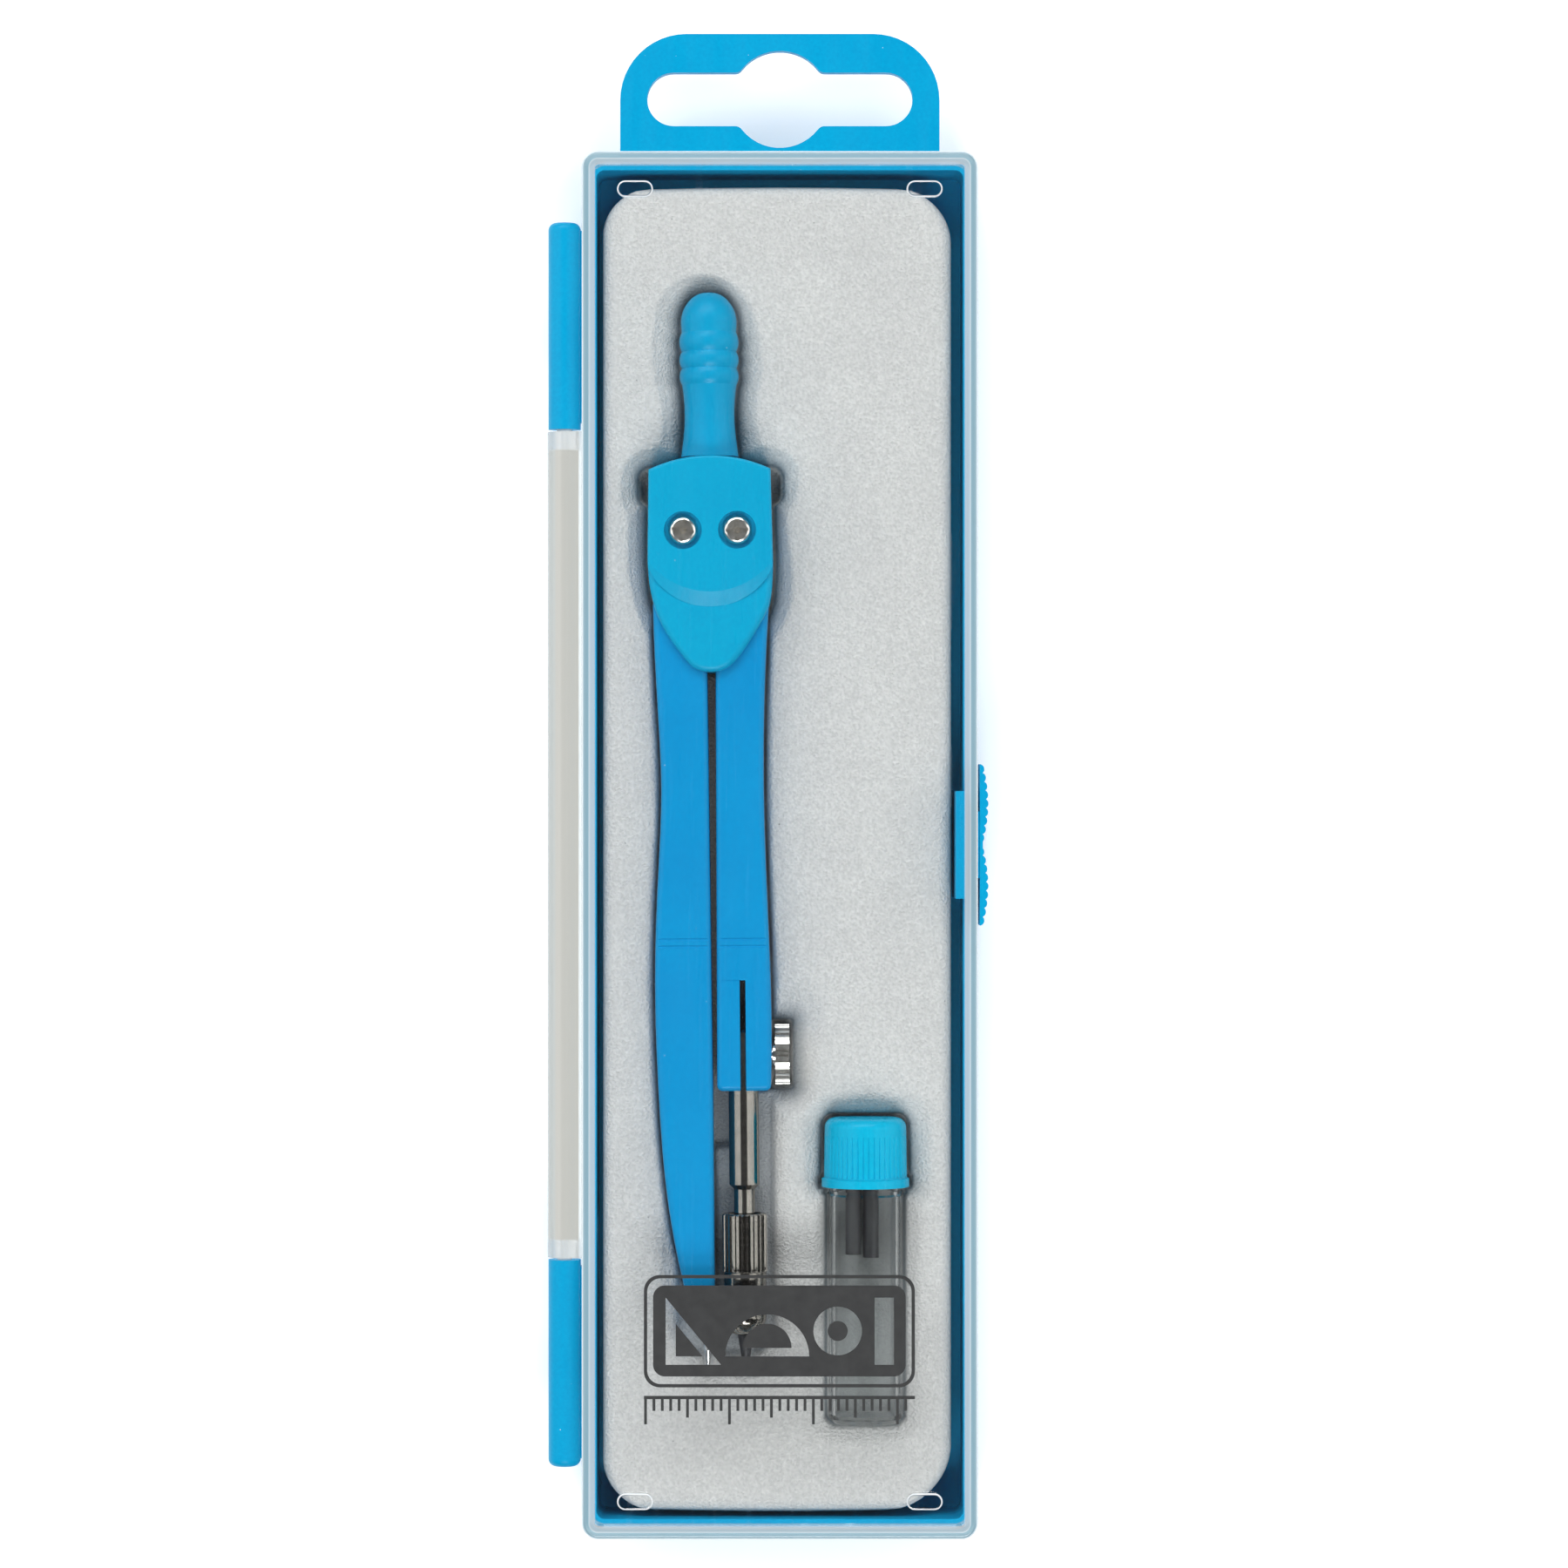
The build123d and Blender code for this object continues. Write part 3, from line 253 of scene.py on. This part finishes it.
# Only faces that look up carry the painted light, and the lugs' rounded edges get a painted
# highlight, the brightest of all
LUG_ROUND_LOW = lid_high.z - 0.34 * MM
LUG_ROUND_HIGH = lid_high.z - 0.28 * MM
LUG_PAINTED_HIGHLIGHT = 0.85
normal = add_node(lid_clear, "TexCoord").outputs["Normal"]
facing = add_node(lid_clear, "SeparateXYZ", Vector=normal)
up = levels(lid_clear, facing.outputs["Z"], 0.12, 0.4)
tilt = levels(lid_clear, facing.outputs["Z"], 0.995, 0.9)
painted_light_share = calc(lid_clear, "MULTIPLY", painted_light_share, up)
lug = levels(lid_clear, axes.outputs["Z"], LUG_ROUND_LOW, LUG_ROUND_HIGH)
lug_painted_highlight = calc(lid_clear, "MULTIPLY", calc(lid_clear, "MULTIPLY", lug, tilt), up)
lug_painted_highlight = calc(lid_clear, "MULTIPLY", lug_painted_highlight, LUG_PAINTED_HIGHLIGHT)
painted_light_share = calc(lid_clear, "MAXIMUM", painted_light_share, lug_painted_highlight)
colour = mixed(lid_clear, lug_painted_highlight, colour, (0.88, 0.89, 0.89, 1))
# The painted highlights and painted shade take the place of the clear tint and of some of the
# see-through
clear_tint_and_painted_light = mixed(lid_clear, painted_light_share, (*CLEAR_TINT, 1), colour)
join(lid_clear, clear_tint_and_painted_light, lid_shader.inputs["Base Color"])
join(lid_clear, levels(lid_clear, painted_light_share, 0, 1, 1, 0), lid_shader.inputs["Transmission Weight"])
wear(lid_clear, "lid")


# ---- Liner
# A soft pad faced with pale grey flock. It is pressed with a wide sloping pocket for the
# compass and another for the lead tube, and its corners are cut by hand, all a bit different.
liner_low, liner_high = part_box("liner")
LINER_MIDDLE = (-0.35, -0.6)
LINER_HALF = (21.05, 80.05)
LINER_CORNERS = {(-1, 1): 5.6, (1, 1): 6.6, (-1, -1): 6.2, (1, -1): 8.0}
LINER_TOP = liner_high.z / MM
LINER_EDGE = 1.6
LINER_GRID = (150, 500)
END_BOW = 0.4
POCKET_CLEARANCE = 0.05
POCKET_WALL = 0.6
POCKET_BLEND = 0.8
POCKET_CREASE = 0.2
WAVES = 0.09
WAVE_HEIGHT = 0.05
SIDE_ROWS = (7.0, 4.5, 2.4)
COMPASS_MIDDLE = (-8.35, 37.65)
COMPASS_TURN = radians(0.5)
TUBE_X = 10.32


def rounded_box_gap(across, along, left, right, low, high, corner):
    """How far points lie outside a rounded rectangle, in millimetres; negative inside."""
    half_wide = (right - left) / 2 - corner
    half_long = (high - low) / 2 - corner
    a = np.abs(across - (left + right) / 2) - half_wide
    b = np.abs(along - (low + high) / 2) - half_long
    outside = np.hypot(np.maximum(a, 0), np.maximum(b, 0))
    return outside + np.minimum(np.maximum(a, b), 0) - corner


def eased(value):
    """0 below 0, 1 above 1 and a smooth step between."""
    value = np.clip(value, 0, 1)
    return value * value * (3 - 2 * value)


def outline_gap(x, y, *nodes):
    """How far places lie outside the nodes' outline from above, in millimetres; 0 inside."""
    corners, faces = [], []
    for name in nodes:
        start = len(corners)
        mesh = cad[name].data
        corners += [(v.co.x, v.co.y, 0) for v in mesh.vertices]
        faces += [[start + i for i in p.vertices] for p in mesh.polygons if p.normal.z > 0.05]
    tree = BVHTree.FromPolygons(corners, faces)
    return np.array([tree.find_nearest((a * MM, b * MM, 0))[3] for a, b in zip(x, y)]) / MM


def press_liner(x, y):
    """The height of the pad's face at those places, in millimetres."""
    right, up = x - COMPASS_MIDDLE[0], y - COMPASS_MIDDLE[1]
    u = right * cos(COMPASS_TURN) + up * sin(COMPASS_TURN)
    v = up * cos(COMPASS_TURN) - right * sin(COMPASS_TURN)
    across = x - TUBE_X
    grip = outline_gap(x, y, "compass_handle")
    head = outline_gap(x, y, "head_front_cover")
    legs = outline_gap(x, y, "needle_leg", "lead_leg")
    point = outline_gap(x, y, "collet_nut", "compass_lead", "needle", "lead_holder")
    thumb = outline_gap(x, y, "clamp_screw")
    tube = outline_gap(x, y, "lead_tube")
    cap = outline_gap(x, y, "tube_cap")
    between_legs = rounded_box_gap(u, v, -3.0, 3.0, -74, -12, 1.0)
    finger_notches = rounded_box_gap(u, v, -8.4, 8.4, 3.6, 7.7, 1.2)
    tip_bed = rounded_box_gap(u, v, -4.5, 6.6, -99, -64, 3.0)
    cap_dent = rounded_box_gap(across, y, -2.2, 2.2, -40, -33, 2.0)
    # Each pocket: its gap, its floor, how deep its soft shoulder dips and how wide that is
    pockets = (
        (grip, 6.9, 2.5, 4.0),
        (head, 5.4, 3.2, 3.4),
        (legs, 6.9, 0.7, 2.8),
        (between_legs, 6.9, 0.7, 2.8),
        (finger_notches, 5.0, 2.6, 3.6),
        (point, 8.6, 1.0, 4.0),
        (tip_bed, 8.4, 1.0, 4.0),
        (thumb, 4.9, 3.0, 5.2),
        (tube, 5.6, 1.4, 4.0),
        (cap, 4.8, 2.3, 4.4),
        (cap_dent, 7.6, 2.4, 5.2),
    )
    wander = np.array([noise.noise((a * WAVES, b * WAVES, 3.0)) for a, b in zip(x, y)])
    height = np.full_like(x, LINER_TOP)
    for gap, floor, dip, shoulder in pockets:
        wall = eased((gap - POCKET_CLEARANCE) / POCKET_WALL)
        rise = np.clip(gap / (shoulder * (1 + 0.5 * wander)), 0, 1)
        sunk = floor + (LINER_TOP - dip - floor) * wall + dip * (1 - (1 - rise) ** 2)
        blend = np.clip(0.5 + (height - sunk) / POCKET_BLEND, 0, 1)
        height = height * (1 - blend) + sunk * blend - POCKET_CREASE * blend * (1 - blend)
    return height, wander


def liner_half_width(y):
    """How wide the pad is at y, left and right of its middle, with the cut corners."""
    along = y - LINER_MIDDLE[1]
    end = np.sign(along)
    sides = []
    for side in (-1, 1):
        corner = np.where(end > 0, LINER_CORNERS[(side, 1)], LINER_CORNERS[(side, -1)])
        into = np.clip(np.abs(along) - (LINER_HALF[1] - corner), 0, corner)
        sides.append(LINER_HALF[0] - (corner - np.sqrt(np.maximum(corner**2 - into**2, 0))))
    return sides


def make_liner():
    """A fine sheet pressed to the pad's face, then closed down its sides and over its back."""
    columns, rows = LINER_GRID
    bpy.ops.mesh.primitive_grid_add(x_subdivisions=columns, y_subdivisions=rows, size=2)
    pad = bpy.context.object
    pad.name = "flocked_liner_pad"
    mesh = pad.data
    flat = np.empty(len(mesh.vertices) * 3)
    mesh.vertices.foreach_get("co", flat)
    flat = flat.reshape(-1, 3)
    # s and t run from -1 to 1 across and along, with the rows closer together at the rim
    s = 1.25 * flat[:, 0] - 0.25 * flat[:, 0] ** 3
    t = 1.04 * flat[:, 1] - 0.04 * flat[:, 1] ** 3
    y = LINER_MIDDLE[1] + t * LINER_HALF[1]
    left, right = liner_half_width(y)
    x = LINER_MIDDLE[0] + s * np.where(s < 0, left, right)
    bow = END_BOW * (x / LINER_HALF[0]) ** 2
    y = y - np.sign(t) * bow * eased((np.abs(t) - 0.8) / 0.2)
    height, wander = press_liner(x, y)
    # The cut edge is rounded over
    rim = np.minimum(
        np.where(s < 0, left, right) * (1 - np.abs(s)),
        (1 - np.abs(t)) * LINER_HALF[1],
    )
    rim = np.clip(rim / LINER_EDGE, 0, 1)
    height = height - LINER_EDGE * (1 - np.sqrt(1 - (1 - rim) ** 2))
    height = height + WAVE_HEIGHT * wander
    points = np.stack([x, y, height], 1) * MM
    mesh.vertices.foreach_set("co", points.ravel())
    # The cut sides go down to the tray's floor and the back is flat
    bpy.ops.object.mode_set(mode="EDIT")
    bpy.ops.mesh.select_all(action="DESELECT")
    bpy.ops.mesh.select_non_manifold()
    for level in SIDE_ROWS:
        bpy.ops.mesh.extrude_edges_move(TRANSFORM_OT_translate={"value": (0, 0, 0)})
        bpy.ops.transform.resize(value=(1, 1, 0), center_override=(0, 0, level * MM))
    bpy.ops.mesh.extrude_edges_move(TRANSFORM_OT_translate={"value": (0, 0, 0)})
    bpy.ops.transform.resize(value=(1, 1, 0), center_override=(0, 0, liner_low.z))
    bpy.ops.transform.resize(value=(0.99, 0.997, 1), center_override=(0, 0, 0))
    bpy.ops.mesh.edge_face_add()
    bpy.ops.mesh.select_all(action="SELECT")
    bpy.ops.mesh.normals_make_consistent(inside=False)
    bpy.ops.object.mode_set(mode="OBJECT")
    bpy.ops.object.shade_smooth()
    return pad


liner_pad = make_liner()

flock, shader, place = new_material("grey_flock")
PALE_FLOCK, GREYER_FLOCK = (0.77, 0.755, 0.735, 1), (0.72, 0.705, 0.69, 1)
FLOCK_SHADE = (0.3, 0.3, 0.3, 1)
POCKET_PAINTED_SHADE = (0.11, 0.15, 0.19, 1)
DARK_FLECK = (0.1, 0.1, 0.11, 1)
cloud = levels(flock, grain(flock, place, 120, 4), 0.3, 0.7)
face = mixed(flock, cloud, PALE_FLOCK, GREYER_FLOCK)
curl = levels(flock, grain(flock, place, 3200, 6), 0.32, 0.68)
face = mixed(flock, levels(flock, curl, 0, 1, 0.36, 0), face, FLOCK_SHADE)
# On the pockets' slopes and in the deepest of them the flock gets painted shade, darker and
# bluish, standing in for the shadow in the recesses and the blue light the plastic throws there
level = add_node(flock, "SeparateXYZ", Vector=place).outputs["Z"]
slope_painted_shade = levels(flock, level, liner_high.z - 0.9 * MM, liner_high.z - 2.6 * MM, 0, 0.85)
above_floor = levels(flock, level, 6.2 * MM, 7.6 * MM, 0.12, 1)
pocket_painted_shade = calc(flock, "MULTIPLY", slope_painted_shade, above_floor)
deepest_painted_shade = levels(flock, level, 5.55 * MM, 4.9 * MM, 0, 0.7)
pocket_painted_shade = calc(flock, "MAXIMUM", pocket_painted_shade, deepest_painted_shade)
face = mixed(flock, pocket_painted_shade, face, POCKET_PAINTED_SHADE)
fleck = specks(flock, place, 700, 0.06, 0.2)
join(flock, mixed(flock, fleck, face, DARK_FLECK), shader.inputs["Base Color"])
shader.inputs["Roughness"].default_value = 0.95
shader.inputs["Specular IOR Level"].default_value = 0.15
shader.inputs["Sheen Weight"].default_value = 0.25
shader.inputs["Sheen Roughness"].default_value = 0.5
bump(flock, shader, curl, 0.22 * MM, 0.8)
liner_pad.data.materials.append(flock)
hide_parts("liner")
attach(liner_pad, "case")


# ---- Compass: handle, head covers and legs
# Blue moulded plastic, a little glossier than the case. The legs are a deeper blue.
handle_blue = blue_plastic("handle_blue_plastic", (0.0, 0.325, 0.55), (0.0, 0.305, 0.53), 0.3)
wear(handle_blue, "compass_handle")
head_blue = blue_plastic("head_blue_plastic", (0.0, 0.355, 0.57), (0.0, 0.335, 0.55), 0.3)
wear(head_blue, "head_front_cover", "head_rear_cover")
leg_blue = blue_plastic("leg_blue_plastic", (0.0, 0.272, 0.565), (0.0, 0.255, 0.545), 0.33)
wear(leg_blue, "needle_leg", "lead_leg")


# ---- Compass: screws, holder, nut, thumb screw and needle
# Nickel-plated steel and brass turnings, bright, with faint turning lines.
def nickel(name, colour, roughness, turning):
    """Bright plated metal with fine lines round it and faint stains."""
    material, shader, place = new_material(name)
    stain = levels(material, grain(material, place, 500, 3), 0.35, 0.7)
    stained = tuple(0.86 * c for c in colour) + (1,)
    join(material, mixed(material, stain, (*colour, 1), stained), shader.inputs["Base Color"])
    shader.inputs["Metallic"].default_value = 1.0
    lines = grain(material, place, 3000, 3, turning)
    turned = levels(material, lines, 0.3, 0.7, roughness, roughness + 0.07)
    join(material, turned, shader.inputs["Roughness"])
    bump(material, shader, lines, 0.008 * MM, 0.4)
    return material


screw_nickel = nickel("screw_nickel", (0.84, 0.80, 0.74), 0.16, (1, 1, 0.2))
wear(screw_nickel, "pivot_screw_left", "pivot_screw_right")
holder_nickel = nickel("holder_nickel", (0.27, 0.252, 0.224), 0.08, (0.1, 1, 0.1))
wear(holder_nickel, "lead_holder", "collet", "collet_nut")
thumb_nickel = nickel("thumb_screw_nickel", (0.84, 0.82, 0.78), 0.1, (1, 0.2, 0.2))
wear(thumb_nickel, "clamp_screw")
needle_steel = nickel("needle_steel", (0.62, 0.62, 0.62), 0.2, (0.2, 1, 0.2))
wear(needle_steel, "needle")


# ---- Leads
# Graphite sticks: nearly black, a little shiny, with a few pale nicks.
graphite, shader, place = new_material("graphite")
streak = levels(graphite, grain(graphite, place, 1500, 4, (1, 0.1, 1)), 0.35, 0.7)
dark = mixed(graphite, streak, (0.018, 0.018, 0.02, 1), (0.05, 0.05, 0.055, 1))
nick = specks(graphite, place, 900, 0.09, 0.3)
join(graphite, mixed(graphite, nick, dark, (0.3, 0.3, 0.31, 1)), shader.inputs["Base Color"])
join(graphite, levels(graphite, streak, 0, 1, 0.35, 0.5), shader.inputs["Roughness"])
shader.inputs["Metallic"].default_value = 0.2
bump(graphite, shader, streak, 0.01 * MM, 0.5)
wear(graphite, "compass_lead", "spare_lead_left", "spare_lead_right")


# ---- Lead tube and its cap
# A clear drawn tube, closed at its foot, and a blue ribbed cap pushed over its mouth.
tube_clear, tube_shader, _ = clear_plastic("tube_clear_plastic", (0.86, 0.87, 0.87), 0.12, 0.15)
tube_shader.inputs["IOR"].default_value = 1.22
wear(tube_clear, "lead_tube")
cap_blue = blue_plastic("cap_blue_plastic", (0.0, 0.45, 0.665), (0.0, 0.42, 0.64), 0.28)
wear(cap_blue, "tube_cap")


# ---- Print on the lid
# A screen-printed badge in see-through black ink: a thin frame round a panel of drafting
# shapes, with a small ruler under it.
INK_THICKNESS = 0.02
LUG_HEIGHT = 0.4
OVER_LID = 0.055
PRINT_LEVEL = lid_high.z / MM - LUG_HEIGHT + OVER_LID + INK_THICKNESS / 2


def flat_shape(name, outlines):
    """A thin printed shape from closed outlines; an outline inside another is a hole."""
    curve = bpy.data.curves.new(name, "CURVE")
    curve.dimensions = "2D"
    curve.fill_mode = "BOTH"
    curve.extrude = INK_THICKNESS / 2 * MM
    for outline in outlines:
        spline = curve.splines.new("POLY")
        spline.points.add(len(outline) - 1)
        for point, (x, y) in zip(spline.points, outline):
            point.co = (x * MM, y * MM, 0, 1)
        spline.use_cyclic_u = True
    shape = bpy.data.objects.new(name, curve)
    scene.collection.objects.link(shape)
    bpy.ops.object.select_all(action="DESELECT")
    shape.select_set(True)
    bpy.context.view_layer.objects.active = shape
    bpy.ops.object.convert(target="MESH")
    bpy.ops.transform.translate(value=(0, 0, PRINT_LEVEL * MM))
    bpy.ops.object.transform_apply(location=True, rotation=True, scale=True)
    return bpy.context.object


def arc(middle, radius, start, end, steps=24):
    """Points along an arc, in degrees."""
    turns = [radians(start + (end - start) * i / steps) for i in range(steps + 1)]
    return [(middle[0] + radius * cos(a), middle[1] + radius * sin(a)) for a in turns]


def rounded_outline(left, right, low, high, corner):
    """The outline of a rectangle with round corners."""
    points = []
    for x, y, start in (
        (right - corner, high - corner, 0),
        (left + corner, high - corner, 90),
        (left + corner, low + corner, 180),
        (right - corner, low + corner, 270),
    ):
        points += arc((x, y), corner, start, start + 90, 8)
    return points


def disc_outline(middle, radius):
    """The outline of a disc."""
    return arc(middle, radius, 0, 350, 35)


panel_low, panel_high = -63.3, -52.45
badge = flat_shape(
    "print_badge",
    [
        rounded_outline(-16.2, 16.1, -64.6, -51.2, 1.9),
        rounded_outline(-15.8, 15.7, -64.2, -51.6, 1.6),
    ],
)
middle_y = (panel_low + panel_high) / 2
panel = flat_shape(
    "print_panel",
    [
        rounded_outline(-15.1, 15.0, panel_low, panel_high, 1.4),
        # Set square with its window
        [(-13.6, -61.9), (-7.0, -61.9), (-13.6, -53.9)],
        [(-12.4, -60.9), (-9.2, -60.9), (-12.4, -57.0)],
        # Protractor
        arc((-1.5, -60.9), 5.0, 0, 180),
        arc((-1.5, -59.9), 2.9, 0, 180),
        # Roundel
        disc_outline((6.9, middle_y), 2.9),
        disc_outline((6.9, middle_y), 1.2),
        # Ruler
        [(11.3, -61.9), (13.6, -61.9), (13.6, -53.9), (11.3, -53.9)],
    ],
)
# The small ruler: a line with a tick to the millimetre, longer at each fifth and tenth
RULER_LOW, RULER_HIGH = -66.0, -65.6
RULER_START = -16.0
TICK_HALF = 0.17
ticks = []
for i in range(32):
    left, right = RULER_START + i - TICK_HALF, RULER_START + i + TICK_HALF
    foot = RULER_LOW - (3.0 if i % 10 == 0 else (2.2 if i % 5 == 0 else 1.4))
    ticks.append([(left, foot), (right, foot), (right, RULER_LOW), (left, RULER_LOW)])
ticks.append(
    [(-16.2, RULER_LOW), (16.1, RULER_LOW), (16.1, RULER_HIGH), (-16.2, RULER_HIGH)]
)
ruler = flat_shape("print_ruler", ticks)

ink, shader, place = new_material("printed_ink")
thin = levels(ink, grain(ink, place, 700, 4), 0.3, 0.7)
black = mixed(ink, thin, (0.012, 0.013, 0.014, 1), (0.024, 0.025, 0.026, 1))
join(ink, black, shader.inputs["Base Color"])
join(ink, levels(ink, thin, 0, 1, 0.985, 0.93), shader.inputs["Alpha"])
shader.inputs["Roughness"].default_value = 0.5
for printed in (badge, panel, ruler):
    printed.data.materials.append(ink)
    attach(printed, "lid")


# ---- Studio
# A pale floor, soft boxes all round and the camera straight above.
FLOOR_SIZE = 6
FLOOR_DROP = 0.2 * MM
CAMERA_LENS = 115.6
CAMERA_PLACE = (0.5 * MM, 7.3 * MM, 618 * MM)


def soft_box(name, place, size, power):
    """A large oblong lamp that faces the case."""
    lamp = bpy.data.lights.new(name, "AREA")
    lamp.shape = "RECTANGLE"
    lamp.size, lamp.size_y = size
    lamp.energy = power
    box = bpy.data.objects.new(name, lamp)
    box.location = place
    box.rotation_euler = (Vector((0, 0, 0)) - Vector(place)).to_track_quat("-Z", "Y").to_euler()
    scene.collection.objects.link(box)


bpy.ops.object.select_all(action="DESELECT")
bpy.ops.mesh.primitive_plane_add(size=FLOOR_SIZE, location=(0, 0, -FLOOR_DROP))
floor = bpy.context.object
floor.name = "studio_floor"
paper, shader, place = new_material("studio_paper")
cloud = grain(paper, place, 40, 2)
white = mixed(paper, cloud, (0.93, 0.93, 0.93, 1), (0.95, 0.95, 0.95, 1))
join(paper, white, shader.inputs["Base Color"])
shader.inputs["Roughness"].default_value = 0.9
shader.inputs["Emission Color"].default_value = (1, 1, 1, 1)
shader.inputs["Emission Strength"].default_value = 0.18
floor.data.materials.append(paper)

soft_box("left_box", (-0.75, 0.15, 0.55), (0.7, 1.1), 3.8)
soft_box("right_box", (0.75, 0.1, 0.55), (0.7, 1.1), 4.2)
soft_box("top_box", (-0.15, 0.8, 0.65), (1.1, 0.5), 8.6)
soft_box("foot_box", (0.05, -0.62, 0.8), (0.55, 0.4), 6.2)

world = bpy.data.worlds.new("studio")
world.use_nodes = True
world.node_tree.nodes["Background"].inputs["Color"].default_value = (1, 1, 1, 1)
world.node_tree.nodes["Background"].inputs["Strength"].default_value = 0.08
scene.world = world
scene.view_settings.view_transform = "Standard"

camera = bpy.data.cameras.new("camera")
camera.lens = CAMERA_LENS
camera.sensor_width = 36
camera.clip_start = 0.01
eye = bpy.data.objects.new("camera", camera)
eye.location = CAMERA_PLACE
scene.collection.objects.link(eye)
scene.camera = eye
